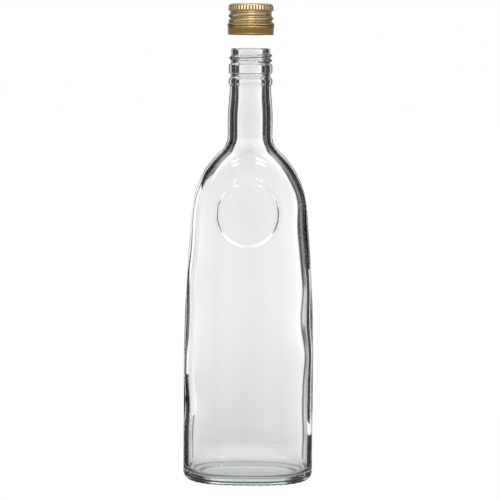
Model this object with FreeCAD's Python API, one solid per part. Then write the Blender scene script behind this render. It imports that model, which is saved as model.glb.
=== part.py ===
import FreeCAD, Part
import math
import os

# A clear glass bottle of half a litre with a flat oval body and a round neck, and its aluminium screw cap.
# Millimetres. The origin is the centre of the base, +Z is up, the width runs along X, the front faces -Y.
# The cap is off the bottle: it hangs above the mouth on the bottle's axis, in line with the thread.

# Body of the bottle
bottle_height = 267.6
body_width = 81.0
body_depth = 53.0
plan_exponent = 2.7
side_straight = 66.0
side_radius = 1100.0
side_shoulder_radius = 54.0
side_fillet = 10.0
face_straight = 66.0
face_radius = 1500.0
face_shoulder_radius = 50.0
face_fillet = 16.0
heel_radius = 5.0

# Glass thickness
body_wall = 3.1
floor_thickness = 7.0
inner_heel_radius = 9.0
push_up_height = 3.0
push_up_taper = 9.0
bearing_ring_width = 4.5

# Raised round seal on the front shoulder
seal_drop = 46.0
seal_radius = 18.6
seal_rise = 0.8
seal_bevel = 0.6

# Neck and finish, with the heights of the finish measured down from the lip
bore_radius = 9.3
bore_depth = 27.0
neck_length = 31.2
neck_taper_length = 20.0
neck_bore_flare = 0.8
neck_wall = 3.65
neck_top_wall = 3.3
finish_wall = 2.75
lip_round = 1.5
bore_round = 0.8
collar_step = 1.35
collar_chamfer = 0.6
collar_depth = 9.8
collar_height = 5.5
bead_step = 1.45
bead_depth = 17.6
bead_height = 4.8

# Thread of the finish, right-handed, eight turns to the inch
thread_pitch = 3.175
thread_depth = 1.2
thread_base = 1.9
thread_crest = 0.7
thread_start_depth = 8.2
thread_start_angle = -80.0
thread_turns = 1.36

# Cap
cap_gap = 8.2
cap_height = 18.5
shell_wall = 0.22
thread_clearance = 0.28
groove_spread = 0.6
groove_turns = 2.06
groove_start_height = 6.25
band_clearance = 0.33
band_height = 4.9
band_flare = 0.25
slit_height = 0.6
flange_step = 0.3
flange_height = 0.6
flange_slope = 1.5
grip_height = 3.9
grip_cone = 1.0
grip_step = 1.18
grip_corner = 1.0
flute_count = 42
flute_radius = 0.55
flute_depth = 0.38
bridge_count = 8
bridge_width = 0.9
bridge_first_angle = 280.0

# Liner
liner_thickness = 2.0
liner_clearance = 0.2
liner_play = 0.05

# Fineness of the lofted glass
section_points = 32
plumb_sections = 5
flank_sections = 20
neck_sections = 5

# Sizes that follow
root_radius = bore_radius + finish_wall
crest_radius = root_radius + thread_depth
collar_radius = root_radius + collar_step
bead_radius = root_radius + bead_step
neck_top_radius = bore_radius + neck_top_wall
neck_bore = bore_radius + neck_bore_flare
neck_radius = neck_bore + neck_wall
bead_bottom = bottle_height - bead_depth - bead_height
neck_root = bead_bottom - neck_length
bore_bottom = bottle_height - bore_depth
thread_start = bottle_height - thread_start_depth
seal_height = neck_root - seal_drop

cap_bottom = bottle_height + cap_gap
cap_top = cap_bottom + cap_height
valley_inner = root_radius + thread_clearance
valley_outer = valley_inner + shell_wall
groove_inner = crest_radius + thread_clearance
groove_outer = groove_inner + shell_wall
band_inner = collar_radius + band_clearance
band_top_inner = band_inner + band_flare
band_top = cap_bottom + band_height
shell_bottom = band_top + slit_height
grip_bottom = cap_top - grip_height
grip_radius = valley_outer + grip_step
grip_inner = grip_radius - flute_depth - shell_wall
liner_radius = grip_inner - liner_clearance
liner_top = cap_top - shell_wall - liner_play


def point(radius, height):
    """A point of a turned profile, in the XZ plane."""
    return FreeCAD.Vector(radius, 0, height)


def arc(start, middle, end):
    """An arc through three points of a profile."""
    return Part.Arc(start, middle, end).toShape()


def turned(edges):
    """A solid of revolution about Z from the edges of a closed profile."""
    face = Part.Face(Part.Wire(Part.__sortEdges__(edges)))
    return face.revolve(FreeCAD.Vector(0, 0, 0), FreeCAD.Vector(0, 0, 1), 360)


def turned_outline(points):
    """A solid of revolution about Z from a closed outline of straight lines."""
    face = Part.Face(Part.makePolygon(points + points[:1]))
    return face.revolve(FreeCAD.Vector(0, 0, 0), FreeCAD.Vector(0, 0, 1), 360)


def plan_curve(half_width, half_depth, exponent, height):
    """A closed superellipse at one height: exponent 2 is an ellipse, more is squarer."""
    points = []
    for step in range(section_points):
        angle = 2 * math.pi * step / section_points
        across = math.cos(angle)
        along = math.sin(angle)
        reach = (abs(across) ** exponent + abs(along) ** exponent) ** (-1 / exponent)
        points.append(FreeCAD.Vector(half_width * across * reach, half_depth * along * reach, height))
    curve = Part.BSplineCurve()
    curve.interpolate(Points=points, PeriodicFlag=True, Parameters=list(range(section_points + 1)))
    return curve


def skinned(curves):
    """A closed solid whose wall follows the plan curves from the lowest up, with flat ends."""
    degree = 3
    rows = [curve.getPoles() for curve in curves]
    columns = [list(column) for column in zip(*rows)]
    around = list(range(len(columns) + 1))
    upward = list(range(len(rows) - degree + 1))
    clamped = degree + 1
    wall = Part.BSplineSurface()
    wall.buildFromPolesMultsKnots(
        columns, [1] * len(around), [clamped] + [1] * (len(upward) - 2) + [clamped],
        around, upward, True, False, degree, degree,
    )
    side = wall.toShape()
    faces = [side]
    for edge in side.Edges:
        if edge.isClosed():
            end = Part.Face(Part.Wire(edge))
            end.reverse()
            faces.append(end)
    return Part.makeSolid(Part.makeShell(faces))


def flank(half, straight, radius, shoulder, fillet, neck):
    """Half the body's breadth as a function of height: plumb, then a long arc, a shoulder arc and a
    hollow fillet that ends plumb on the neck, each tangent to the next."""
    long_centre = (half - radius, straight)
    fillet_centre = (neck + fillet, neck_root)
    to_shoulder = radius - shoulder
    from_shoulder = shoulder + fillet
    run = fillet_centre[0] - long_centre[0]
    rise = fillet_centre[1] - long_centre[1]
    apart = math.hypot(run, rise)
    along = (apart ** 2 + to_shoulder ** 2 - from_shoulder ** 2) / (2 * apart)
    aside = math.sqrt(to_shoulder ** 2 - along ** 2)
    shoulder_centre = (
        long_centre[0] + (run * along + rise * aside) / apart,
        long_centre[1] + (rise * along - run * aside) / apart,
    )
    long_end = straight + (shoulder_centre[1] - straight) * radius / to_shoulder
    shoulder_end = shoulder_centre[1] + (neck_root - shoulder_centre[1]) * shoulder / from_shoulder

    def half_at(height):
        if height <= straight:
            return half
        if height <= long_end:
            return long_centre[0] + math.sqrt(radius ** 2 - (height - straight) ** 2)
        if height <= shoulder_end:
            return shoulder_centre[0] + math.sqrt(shoulder ** 2 - (height - shoulder_centre[1]) ** 2)
        return fillet_centre[0] - math.sqrt(fillet ** 2 - (height - neck_root) ** 2)

    return half_at


def vessel(inset, neck_inset, neck_stations, foot):
    """A loft of the body's shape from foot up into the neck. inset moves its walls inwards, neck_inset
    its neck, and neck_stations are the (height, radius) pairs of the neck above its root."""
    neck = neck_radius - neck_inset
    width_at = flank(
        body_width / 2 - inset, side_straight, side_radius - inset,
        side_shoulder_radius - inset, side_fillet + neck_inset, neck,
    )
    depth_at = flank(
        body_depth / 2 - inset, face_straight, face_radius - inset,
        face_shoulder_radius - inset, face_fillet + neck_inset, neck,
    )
    low = min(side_straight, face_straight)
    heights = []
    for step in range(plumb_sections):
        heights.append(foot + (low - foot) * step / plumb_sections)
    for step in range(flank_sections + 1):
        remaining = 1 - step / flank_sections
        heights.append(neck_root - (neck_root - low) * remaining ** 2)
    curves = []
    for height in heights:
        half_width = width_at(height)
        opened = (half_width - neck) / (body_width / 2 - inset - neck)
        exponent = 2 + (plan_exponent - 2) * opened
        curves.append(plan_curve(half_width, depth_at(height), exponent, height))
    for height, radius in neck_stations:
        curves.append(plan_curve(radius, radius, 2, height))
    return skinned(curves)


def rounded_foot(solid, foot, radius):
    """The solid with the edge around its flat foot rounded."""
    edges = [edge for edge in solid.Edges if edge.BoundBox.ZMax - foot < 0.01]
    return solid.makeFillet(radius, edges)


def ridge(start_height, start_angle, turns, root, crest, base_width, crest_width):
    """A helical ridge that stands on the radius root, with its foot sunk a little below it."""
    sunk = 0.4
    foot_width = base_width + (base_width - crest_width) * sunk / (crest - root)
    outline = [
        point(root - sunk, -foot_width / 2),
        point(crest, -crest_width / 2),
        point(crest, crest_width / 2),
        point(root - sunk, foot_width / 2),
    ]
    profile = Part.makePolygon(outline + outline[:1])
    path = Part.Wire(Part.makeHelix(thread_pitch, thread_pitch * turns, root).Edges)
    solid = path.makePipeShell([profile], True, True)
    solid.rotate(FreeCAD.Vector(0, 0, 0), FreeCAD.Vector(0, 0, 1), start_angle)
    solid.translate(FreeCAD.Vector(0, 0, start_height))
    return solid


def glass_finish():
    """The turned top of the glass: bead, groove, collar, plain wall under the thread and rounded lip."""
    bead_middle = bead_bottom + bead_height / 2
    bead_top = bead_bottom + bead_height
    collar_top = bottle_height - collar_depth
    collar_bottom = collar_top - collar_height
    lip_bend = lip_round * (1 - math.sqrt(0.5))
    axis_low = point(0, bead_bottom)
    bead_low = point(root_radius, bead_bottom)
    bead_high = point(root_radius, bead_top)
    groove_high = point(root_radius, collar_bottom)
    collar_low = point(collar_radius, collar_bottom)
    collar_high = point(collar_radius, collar_top)
    wall_low = point(root_radius, collar_top + collar_chamfer)
    wall_high = point(root_radius, bottle_height - lip_round)
    lip_edge = point(root_radius - lip_round, bottle_height)
    axis_high = point(0, bottle_height)
    edges = [
        Part.makeLine(axis_low, bead_low),
        arc(bead_low, point(bead_radius, bead_middle), bead_high),
        Part.makeLine(bead_high, groove_high),
        Part.makeLine(groove_high, collar_low),
        Part.makeLine(collar_low, collar_high),
        Part.makeLine(collar_high, wall_low),
        Part.makeLine(wall_low, wall_high),
        arc(wall_high, point(root_radius - lip_bend, bottle_height - lip_bend), lip_edge),
        Part.makeLine(lip_edge, axis_high),
        Part.makeLine(axis_high, axis_low),
    ]
    return turned(edges)


def bore_tool():
    """The straight bore of the neck with its rounded mouth."""
    overshoot = 3.0
    bend = bore_round * (1 - math.sqrt(0.5))
    low = bore_bottom - overshoot
    high = bottle_height + overshoot
    wall_top = point(bore_radius, bottle_height - bore_round)
    mouth = point(bore_radius + bore_round, bottle_height)
    edges = [
        Part.makeLine(point(0, low), point(bore_radius, low)),
        Part.makeLine(point(bore_radius, low), wall_top),
        arc(wall_top, point(bore_radius + bend, bottle_height - bend), mouth),
        Part.makeLine(mouth, point(bore_radius + bore_round, high)),
        Part.makeLine(point(bore_radius + bore_round, high), point(0, high)),
        Part.makeLine(point(0, high), point(0, low)),
    ]
    return turned(edges)


def outer_neck():
    """The neck's outside above its root: plain at first, then drawn in towards the bead it ends in."""
    taper_start = bead_bottom - neck_taper_length
    stations = [((neck_root + taper_start) / 2, neck_radius)]
    for step in range(neck_sections + 1):
        share = step / neck_sections
        eased = share * share * (3 - 2 * share)
        radius = neck_radius + (neck_top_radius - neck_radius) * eased
        stations.append((taper_start + neck_taper_length * share, radius))
    stations.append((bead_bottom + bead_height / 2, neck_top_radius))
    return stations


def inner_neck():
    """The neck's inside above its root, which narrows to the bore and ends inside it."""
    taper_start = bead_bottom - neck_taper_length
    past_bore = 4.0
    pinch = 0.3
    return [
        ((neck_root + taper_start) / 2, neck_bore),
        (taper_start, neck_bore),
        (bore_bottom, bore_radius),
        (bore_bottom + past_bore, bore_radius - pinch),
    ]


def seal_boss():
    """The round raised seal: the front of a slightly larger body inside a cylinder, its edge bevelled."""
    sunk = body_depth / 4
    reach = body_depth / 2
    neck = [(height, radius + seal_rise) for height, radius in outer_neck()]
    skin = vessel(-seal_rise, -seal_rise, neck, 0)
    back = FreeCAD.Vector(0, -sunk, seal_height)
    boss = skin.common(Part.makeCylinder(seal_radius, reach, back, FreeCAD.Vector(0, -1, 0)))
    rim = min((edge for edge in boss.Edges if edge.isClosed()), key=lambda edge: edge.CenterOfMass.y)
    return boss.makeChamfer(seal_bevel, [rim])


def push_up():
    """The hollow under the base, inside the ring that the bottle stands on."""
    inset = heel_radius + bearing_ring_width
    half_width = body_width / 2 - inset
    half_depth = body_depth / 2 - inset
    mouth = plan_curve(half_width, half_depth, plan_exponent, 0)
    crown = plan_curve(half_width - push_up_taper, half_depth - push_up_taper, plan_exponent, push_up_height)
    return Part.makeLoft([Part.Wire(mouth.toShape()), Part.Wire(crown.toShape())], True)


def bottle():
    """The glass, one piece from the bearing ring to the lip."""
    glass = rounded_foot(vessel(0, 0, outer_neck(), 0), 0, heel_radius)
    glass = glass.fuse(glass_finish())
    glass = glass.fuse(seal_boss())
    glass = glass.fuse(
        ridge(
            thread_start, thread_start_angle, thread_turns,
            root_radius, crest_radius, thread_base, thread_crest,
        )
    )
    cavity = vessel(body_wall, neck_wall, inner_neck(), floor_thickness)
    cavity = rounded_foot(cavity, floor_thickness, inner_heel_radius)
    return glass.cut(cavity.fuse(bore_tool())).cut(push_up())


def shell_outline(skin, grip_skin, foot):
    """The cap shell's profile from foot to its flat top, moved in by skin, and by grip_skin at the grip."""
    edge_radius = band_top_inner + shell_wall - skin
    flange_top = shell_bottom + flange_height
    return [
        point(0, foot),
        point(edge_radius, foot),
        point(edge_radius, shell_bottom),
        point(edge_radius + flange_step, flange_top),
        point(valley_outer - skin, flange_top + flange_slope),
        point(valley_outer - skin, grip_bottom - grip_cone),
        point(grip_radius - grip_skin, grip_bottom),
        point(grip_radius - grip_skin, cap_top - grip_corner),
        point(grip_radius - grip_skin - grip_corner, cap_top - skin),
        point(0, cap_top - skin),
    ]


def flutes():
    """The upright cuts of the grip, evenly spaced around it."""
    foot = grip_bottom - grip_cone
    centre = grip_radius - flute_depth + flute_radius
    cuts = []
    for step in range(flute_count):
        cut = Part.makeCylinder(flute_radius, cap_top - foot, point(centre, foot))
        cut.rotate(FreeCAD.Vector(0, 0, 0), FreeCAD.Vector(0, 0, 1), 360 * step / flute_count)
        cuts.append(cut)
    return Part.makeCompound(cuts)


def cap_shell():
    """The drawn aluminium shell: fluted grip, rolled thread and the flange above the slit."""
    start = cap_bottom + groove_start_height
    angle = thread_start_angle + 360 * (start - thread_start) / thread_pitch
    lead = 1.5
    base = thread_base + groove_spread
    crest = thread_crest + groove_spread
    outside = turned_outline(shell_outline(0, 0, shell_bottom)).cut(flutes())
    outside = outside.fuse(
        ridge(
            start, angle - lead, groove_turns + 2 * lead / 360,
            valley_outer, groove_outer, base + shell_wall, crest + shell_wall,
        )
    )
    inside = turned_outline(shell_outline(shell_wall, grip_radius - grip_inner, cap_bottom))
    inside = inside.fuse(ridge(start, angle, groove_turns, valley_inner, groove_inner, base, crest))
    below = Part.makeCylinder(grip_radius + flange_step, band_height + slit_height, point(0, cap_bottom))
    return outside.cut(inside).cut(below)


def tamper_band():
    """The ring below the slit, a little wider at its top."""
    return turned_outline(
        [
            point(band_inner, cap_bottom),
            point(band_inner + shell_wall, cap_bottom),
            point(band_top_inner + shell_wall, band_top),
            point(band_top_inner, band_top),
        ]
    )


def band_bridges():
    """The short bridges of metal across the slit, each a piece of the wall, evenly spaced."""
    outline = [
        point(band_top_inner, band_top),
        point(band_top_inner + shell_wall, band_top),
        point(band_top_inner + shell_wall, shell_bottom),
        point(band_top_inner, shell_bottom),
    ]
    face = Part.Face(Part.makePolygon(outline + outline[:1]))
    spread = math.degrees(bridge_width / band_top_inner)
    bridges = []
    for step in range(bridge_count):
        bridge = face.revolve(FreeCAD.Vector(0, 0, 0), FreeCAD.Vector(0, 0, 1), spread)
        turn = bridge_first_angle - spread / 2 + 360 * step / bridge_count
        bridge.rotate(FreeCAD.Vector(0, 0, 0), FreeCAD.Vector(0, 0, 1), turn)
        bridges.append(bridge)
    return Part.makeCompound(bridges)


def cap_liner():
    """The foam disc under the cap's top, with its upper edge cut back to suit the cap's corner."""
    return turned_outline(
        [
            point(0, liner_top - liner_thickness),
            point(liner_radius, liner_top - liner_thickness),
            point(liner_radius, cap_top - grip_corner),
            point(liner_radius - grip_corner, liner_top),
            point(0, liner_top),
        ]
    )


os.makedirs("parts", exist_ok=True)
bottle().exportStep("parts/bottle.step")
cap_shell().exportStep("parts/cap_shell.step")
tamper_band().exportStep("parts/tamper_band.step")
band_bridges().exportStep("parts/band_bridges.step")
cap_liner().exportStep("parts/cap_liner.step")
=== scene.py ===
import math

import bpy
import numpy as np
from mathutils import Matrix, Vector


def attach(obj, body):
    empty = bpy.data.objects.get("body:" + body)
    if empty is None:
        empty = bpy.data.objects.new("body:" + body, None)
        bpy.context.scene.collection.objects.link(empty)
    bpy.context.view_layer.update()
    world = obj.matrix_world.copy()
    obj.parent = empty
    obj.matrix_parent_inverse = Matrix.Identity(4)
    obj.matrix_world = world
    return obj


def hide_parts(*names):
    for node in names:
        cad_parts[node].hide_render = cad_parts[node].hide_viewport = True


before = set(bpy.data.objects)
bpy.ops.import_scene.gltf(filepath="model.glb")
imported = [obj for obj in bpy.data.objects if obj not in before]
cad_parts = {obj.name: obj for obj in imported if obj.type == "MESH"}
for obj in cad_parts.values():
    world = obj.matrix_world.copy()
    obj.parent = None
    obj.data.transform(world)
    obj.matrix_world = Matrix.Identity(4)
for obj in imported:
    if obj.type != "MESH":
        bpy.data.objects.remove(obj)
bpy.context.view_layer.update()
mm = 0.001

# The bottle: one piece of soda-lime glass, pressed to a blank and blown in a two-part mould. Its oval body
# runs through a rounded shoulder into a round neck, and a raised seal stands on the front shoulder.
# The finish has a bead to carry it by, a collar for the tamper band and a thread for the cap.
body_half_width = 40.498 * mm
body_half_depth = 26.5 * mm
plan_exponent = 2.7
flank_straight = 66.0 * mm
side_arc = 1100.0 * mm
side_shoulder = 54.0 * mm
side_fillet = 10.0 * mm
face_arc = 1500.0 * mm
face_shoulder = 50.0 * mm
face_fillet = 10.0 * mm
arcs_softened = 5.0 * mm
body_wall = 3.1 * mm
heel_round = 5.0 * mm
ring_width = 4.5 * mm
push_up_rise = 1.2 * mm
push_up_taper = 0.9 * mm
floor_thickness = 4.6 * mm
inner_heel_round = 4.8 * mm
neck_root = 214.0 * mm
neck_radius = 13.75 * mm
neck_top_radius = 12.6 * mm
neck_bore = 10.1 * mm
bead_bottom = 245.2 * mm
neck_taper = 20.0 * mm
bore_radius = 9.3 * mm
bore_bottom = 240.6 * mm
finish_root = 12.05 * mm
bore_top = 262.0 * mm
lip_height = 267.6 * mm
close_rows_bottom = 145.5 * mm
close_rows_top = 190.5 * mm
middle_half_depth = 1.0 * mm
glass_around = 264


def eased(share):
    """A share from 0 to 1 with a soft start and end."""
    share = np.clip(share, 0, 1)
    return share * share * (3 - 2 * share)


def half_breadth(heights, half, arc, shoulder, fillet, neck):
    """Half the body's breadth at these heights: plumb, a long arc, a shoulder arc and a fillet to the neck.
    Where the two arcs meet, the wall is averaged over a few millimetres, so that the glass shows no line."""
    centre = half - arc
    fillet_middle = neck + fillet
    run, rise = fillet_middle - centre, neck_root - flank_straight
    apart = math.hypot(run, rise)
    along = (apart ** 2 + (arc - shoulder) ** 2 - (shoulder + fillet) ** 2) / (2 * apart)
    aside = math.sqrt((arc - shoulder) ** 2 - along ** 2)
    middle_out = centre + (run * along + rise * aside) / apart
    middle_up = flank_straight + (rise * along - run * aside) / apart
    arc_end = flank_straight + (middle_up - flank_straight) * arc / (arc - shoulder)
    shoulder_end = middle_up + (neck_root - middle_up) * shoulder / (shoulder + fillet)
    shifts = np.linspace(-1, 1, 9)[:, None] * arcs_softened * eased((200 * mm - heights) / (20 * mm))
    up = np.clip(heights + shifts, flank_straight, neck_root)
    on_arc = centre + np.sqrt(arc ** 2 - (up - flank_straight) ** 2)
    on_shoulder = middle_out + np.sqrt(np.maximum(shoulder ** 2 - (up - middle_up) ** 2, 0))
    on_fillet = fillet_middle - np.sqrt(np.maximum(fillet ** 2 - (up - neck_root) ** 2, 0))
    return np.where(up <= arc_end, on_arc, np.where(up <= shoulder_end, on_shoulder, on_fillet)).mean(axis=0)


def rounded_profile(corners, spacing):
    """(radius, height) points along straight runs between (radius, height, easing) corners, each corner
    rounded from its easing before it to its easing after it."""
    points = [corners[0][:2]]
    for before, corner, after in zip(corners, corners[1:], corners[2:]):
        here = np.array(corner[:2])
        back = np.array(before[:2]) - here
        on = np.array(after[:2]) - here
        start = here + back * min(corner[2] / np.hypot(*back), 0.5)
        end = here + on * min(corner[2] / np.hypot(*on), 0.5)
        for share in np.linspace(0, 1, 5):
            points.append(tuple((1 - share) ** 2 * start + 2 * share * (1 - share) * here + share ** 2 * end))
    points.append(corners[-1][:2])
    filled = [points[0]]
    for first, last in zip(points, points[1:]):
        cuts = max(1, math.ceil(math.dist(first, last) / spacing))
        for share in np.linspace(0, 1, cuts + 1)[1:]:
            filled.append((first[0] + (last[0] - first[0]) * share, first[1] + (last[1] - first[1]) * share))
    return np.array(filled)


def oval_body(heights, inset, neck_inset):
    """Columns of half width, half depth, plan exponent and height for the body at these heights."""
    neck = neck_radius - neck_inset
    width = half_breadth(heights, body_half_width - inset, side_arc - inset, side_shoulder - inset,
                         side_fillet + neck_inset, neck)
    depth = half_breadth(heights, body_half_depth - inset, face_arc - inset, face_shoulder - inset,
                         face_fillet + neck_inset, neck)
    opened = (width - neck) / (body_half_width - inset - neck)
    return np.column_stack([width, depth, 2 + (plan_exponent - 2) * opened, heights])


def inset_body(insets, heights, wall):
    """Columns for sections of the body's foot, moved in from its wall by these insets."""
    insets = np.asarray(insets)
    return np.column_stack([body_half_width - wall - insets, body_half_depth - wall - insets,
                            np.full(len(insets), plan_exponent), heights])


def round_sections(profile):
    """Columns for round sections at these (radius, height) points."""
    return np.column_stack([profile[:, 0], profile[:, 0], np.full(len(profile), 2.0), profile[:, 1]])


quarter = np.linspace(0, math.pi / 2, 11)
ring_outer = heel_round
ring_inner = heel_round + ring_width
taper_end = ring_inner + push_up_taper
push_up_shares = np.linspace(0, 1, 8)
underside = inset_body(
    np.concatenate([np.linspace(body_half_depth - middle_half_depth, taper_end, 4)[:-1],
                    taper_end + (ring_inner - taper_end) * push_up_shares]),
    np.concatenate([np.full(3, push_up_rise), push_up_rise * (1 - eased(push_up_shares))]), 0)
ring_shares = np.linspace(0, 1, 8)[1:-1]
bearing = inset_body(ring_inner + (ring_outer - ring_inner) * ring_shares, np.zeros(6), 0)
heel = inset_body(heel_round * (1 - np.sin(quarter)), heel_round * (1 - np.cos(quarter)), 0)
body_heights = np.concatenate([
    np.linspace(heel_round, flank_straight, 8)[1:], np.linspace(flank_straight, close_rows_bottom, 15)[1:],
    np.linspace(close_rows_bottom, close_rows_top, 84)[1:], np.linspace(close_rows_top, neck_root, 19)[1:]])
outer_body = oval_body(body_heights, 0, 0)
neck_heights = np.linspace(neck_root, bead_bottom - 0.8 * mm, 14)[1:]
neck_shares = eased((neck_heights - bead_bottom + neck_taper) / neck_taper)
outer_neck = round_sections(np.column_stack(
    [neck_radius + (neck_top_radius - neck_radius) * neck_shares, neck_heights]))
finish = round_sections(rounded_profile([
    (neck_top_radius, 244.6 * mm, 0), (neck_top_radius + 0.1 * mm, 245.3 * mm, 0.4 * mm),
    (13.15 * mm, 245.9 * mm, 0.5 * mm), (13.5 * mm, 247.2 * mm, 0.7 * mm),
    (13.4 * mm, 248.9 * mm, 0.8 * mm), (12.15 * mm, 250.2 * mm, 0.6 * mm),
    (finish_root, 251.2 * mm, 0.5 * mm), (12.15 * mm, 252.2 * mm, 0.4 * mm),
    (13.3 * mm, 252.5 * mm, 0.8 * mm), (13.4 * mm, 257.5 * mm, 0.8 * mm),
    (12.2 * mm, 258.4 * mm, 0.4 * mm), (finish_root, 259.2 * mm, 0.3 * mm),
    (finish_root, lip_height, 2.2 * mm), (bore_radius, lip_height, 0.8 * mm),
    (bore_radius, bore_top, 0)], 0.42 * mm))
inner_neck_heights = np.concatenate([np.linspace(bore_top, bore_bottom, 7)[1:],
                                     np.linspace(bore_bottom, neck_root, 12)[1:]])
bore_shares = eased((bore_bottom - inner_neck_heights) / (bore_bottom - bead_bottom + neck_taper))
inner_neck = round_sections(np.column_stack(
    [bore_radius + (neck_bore - bore_radius) * bore_shares, inner_neck_heights]))
inner_body_heights = np.concatenate([
    np.linspace(neck_root, 180 * mm, 19)[1:], np.linspace(180 * mm, 140 * mm, 19)[1:],
    np.linspace(140 * mm, floor_thickness + inner_heel_round, 38)[1:]])
inner_body = oval_body(inner_body_heights, body_wall, neck_radius - neck_bore)
inner_heel = inset_body(inner_heel_round * (1 - np.cos(quarter[1:])),
                        floor_thickness + inner_heel_round * (1 - np.sin(quarter[1:])), body_wall)
inner_floor = inset_body(
    np.linspace(inner_heel_round, body_half_depth - body_wall - middle_half_depth, 5)[1:],
    np.full(4, floor_thickness), body_wall)
sections = np.vstack([underside, bearing, heel, outer_body, outer_neck, finish, inner_neck, inner_body,
                      inner_heel, inner_floor])
on_bearing = slice(len(underside), len(underside) + len(bearing))
inside_start = len(sections) - len(inner_body) - len(inner_heel) - len(inner_floor)

# Sections are cut at angles that lie closer together on the front, on the narrow sides and, most of all, at
# the seal's sides.
every_angle = np.linspace(0, 360, 3600, endpoint=False)
crowding = np.ones_like(every_angle)
for middle, spread, share in ((270, 28.0, 1.2), (229.5, 3.5, 6.0), (307.5, 3.5, 6.0), (180, 16.0, 1.5)):
    crowding += share * np.exp(-((every_angle - middle) / spread) ** 2)
crowding += 1.5 * np.exp(-((180 - np.abs(every_angle - 180)) / 16.0) ** 2)
crowded = np.cumsum(crowding) - crowding[0]
angles = np.radians(np.interp(np.arange(glass_around) / glass_around * (crowded[-1] + crowding[0]), crowded,
                              every_angle))
cosine, sine = np.cos(angles), np.sin(angles)
half_width, half_depth, exponent, height = (sections[:, [column]] for column in range(4))
reach = (np.abs(cosine) ** exponent + np.abs(sine) ** exponent) ** (-1 / exponent)
glass_x = half_width * cosine * reach
glass_y = half_depth * sine * reach
glass_z = np.repeat(height, glass_around, axis=1)

# The thread: a rounded ridge that climbs for about a turn and a third and fades out at both ends.
thread_pitch = 3.175 * mm
thread_start = 259.4 * mm
thread_first_angle = math.radians(-80)
thread_turns = 1.36
thread_depth = 1.2 * mm
thread_half_base = 1.3 * mm
thread_fade = 0.1
thread_lowest = 258.0 * mm
part_turn = np.mod((angles - thread_first_angle) / (2 * math.pi), 1)
thread_turn = np.round((glass_z - thread_start) / thread_pitch - part_turn) + part_turn
off_thread = np.clip((glass_z - thread_start - thread_turn * thread_pitch) / thread_half_base, -1, 1)
ridge = (0.5 + 0.5 * np.cos(math.pi * off_thread)) * thread_depth
ridge *= eased(thread_turn / thread_fade) * eased((thread_turns - thread_turn) / thread_fade)
ridge *= (np.hypot(glass_x, glass_y) > finish_root - 1e-6) & (glass_z > thread_lowest)
glass_x += ridge * cosine
glass_y += ridge * sine

# The seal: a plain round field, raised from the front face by a bevel. At its sides the bevel is steep in
# its middle, and at its top and bottom it is wider and soft.
seal_height = 168.0 * mm
seal_aside = -1.0 * mm
seal_field = 16.9 * mm
seal_bevel = 2.7 * mm
seal_bevel_added = 1.5 * mm
seal_top_added = 2.0 * mm
seal_rise = 1.75 * mm
seal_lowest = 140.0 * mm
steep_more = 2.6
steep_middle = 0.42
steep_spread = 0.09
from_seal = np.hypot(glass_x - seal_aside, glass_z - seal_height)
upright = ((glass_z - seal_height) / from_seal) ** 2
bevel = seal_bevel + (seal_bevel_added + seal_top_added * (glass_z > seal_height)) * upright
bevel_shares = np.linspace(0, 1, 61)
bevel_slopes = eased(bevel_shares / 0.2) * eased((1 - bevel_shares) / 0.35)
steep_slopes = bevel_slopes * (1 + steep_more * np.exp(-((bevel_shares - steep_middle) / steep_spread) ** 2))
up_bevel = (seal_field + bevel - from_seal) / bevel
soft_rise = np.interp(up_bevel, bevel_shares, np.cumsum(bevel_slopes) / bevel_slopes.sum())
steep_rise = np.interp(up_bevel, bevel_shares, np.cumsum(steep_slopes) / steep_slopes.sum())
raised = steep_rise + (soft_rise - steep_rise) * eased(upright / 0.4)
outer_rings = np.arange(len(sections))[:, None] < inside_start
raised *= (sine < 0) * outer_rings * (glass_z > seal_lowest)
glass_y -= seal_rise * raised

# Bars on the ring that it stands on, which keep hot glass off the belt.
bar_spacing = 3.7 * mm
bar_depth = 0.55 * mm
bars_from, bars_fade_in = 2.2 * mm, 1.4 * mm
bars_to, bars_fade_out = 8.5 * mm, 2.5 * mm
bar_rows = slice(len(underside) - 6, len(underside) + len(bearing) + 6)
foot_x, foot_y = glass_x[on_bearing][3], glass_y[on_bearing][3]
steps = np.hypot(np.diff(foot_x, append=foot_x[0]), np.diff(foot_y, append=foot_y[0]))
bar_count = round(steps.sum() / bar_spacing)
walked = np.concatenate([[0], np.cumsum(steps)[:-1]]) / steps.sum()
bars = (0.5 + 0.5 * np.cos(2 * math.pi * bar_count * walked)) ** 2
bar_inset = body_half_width - half_width[bar_rows]
across = eased((bar_inset - bars_from) / bars_fade_in) * eased((bars_to - bar_inset) / bars_fade_out)
glass_z[bar_rows] += bar_depth * (1 - bars) * across

# The inside is blown, not pressed, so its wall comes out a little uneven, most of all on the narrow sides.
inside_rows = slice(inside_start, inside_start + len(inner_body))
inside_levels = glass_z[inside_rows]
unevenness = cosine ** 4 * (0.28 * np.sin(inside_levels / (8.2 * mm) + np.where(cosine > 0, 5.0, -0.9))
                            + 0.1 * np.sin(inside_levels / (5.1 * mm) - 2.1 * np.sign(cosine))) * mm
unevenness += 0.1 * mm * np.sin(3 * angles + 0.9 + inside_levels / (31 * mm))
unevenness *= eased((neck_root - inside_levels) / (60 * mm)) * eased((inside_levels - 12 * mm) / (40 * mm))
glass_x[inside_rows] += unevenness * cosine
glass_y[inside_rows] += unevenness * sine


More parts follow.
